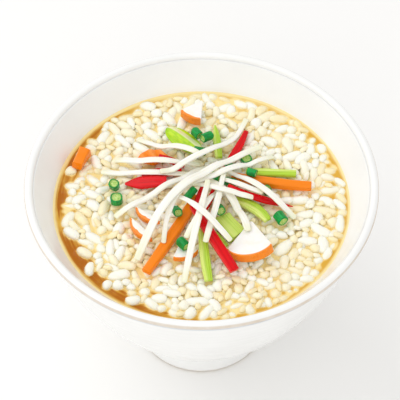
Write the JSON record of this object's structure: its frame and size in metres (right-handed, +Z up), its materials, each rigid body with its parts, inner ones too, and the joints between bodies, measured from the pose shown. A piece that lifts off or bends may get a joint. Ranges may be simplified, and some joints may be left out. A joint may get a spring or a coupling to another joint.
{
  "type": "congee bowl",
  "caption": "Deep white footed bowl filled with rice in golden broth, topped with a loose pile of pale shoots, carrot, red pepper, celery, fish cake and chopped scallion.",
  "frame": {"origin": "centre of the underside of the foot ring", "axes": "+Z up along the bowl's axis; -Y towards the eater, who looks along +Y; +X to the eater's right"},
  "size_m": [0.15, 0.15, 0.0995],
  "materials": {
    "porcelain": "white glaze, glossy",
    "broth": "clear golden broth, glossy and wet",
    "rice": "cooked white rice, moist",
    "shoot": "pale crisp shoots, moist",
    "pepper": "red pepper skin, glossy",
    "carrot": "cut carrot, moist",
    "fishcake": "white, orange along the rind",
    "celery": "cut celery, moist",
    "cucumber": "cucumber skin and flesh, moist",
    "scallion": "cut scallion, glossy"
  },
  "bodies": {
    "root": {"bowl": "porcelain", "broth": "broth", "carrot_block": "carrot", "carrot_near": "carrot", "carrot_right": "carrot", "carrot_slice": "carrot", "celery_end": "celery", "celery_far": "celery", "celery_near": "celery", "celery_right": "celery", "celery_slab": "celery", "celery_sliver": "celery", "cucumber_wedge": "cucumber", "fishcake_big": "fishcake", "fishcake_far": "fishcake", "fishcake_left_back": "fishcake", "fishcake_left_front": "fishcake", "fishcake_small": "fishcake", "pepper_far": "pepper", "pepper_left": "pepper", "pepper_left_back": "pepper", "pepper_left_front": "pepper", "pepper_middle": "pepper", "pepper_middle_right": "pepper", "pepper_near": "pepper", "pepper_right": "pepper", "rice": "rice", "scallion_1": "scallion", "scallion_10": "scallion", "scallion_11": "scallion", "scallion_12": "scallion", "scallion_13": "scallion", "scallion_14": "scallion", "scallion_15": "scallion", "scallion_16": "scallion", "scallion_2": "scallion", "scallion_3": "scallion", "scallion_4": "scallion", "scallion_5": "scallion", "scallion_6": "scallion", "scallion_7": "scallion", "scallion_8": "scallion", "scallion_9": "scallion", "shoot_1": "shoot", "shoot_10": "shoot", "shoot_11": "shoot", "shoot_12": "shoot", "shoot_13": "shoot", "shoot_14": "shoot", "shoot_15": "shoot", "shoot_16": "shoot", "shoot_2": "shoot", "shoot_3": "shoot", "shoot_4": "shoot", "shoot_5": "shoot", "shoot_6": "shoot", "shoot_7": "shoot", "shoot_8": "shoot", "shoot_9": "shoot"}
  },
  "joints": []
}
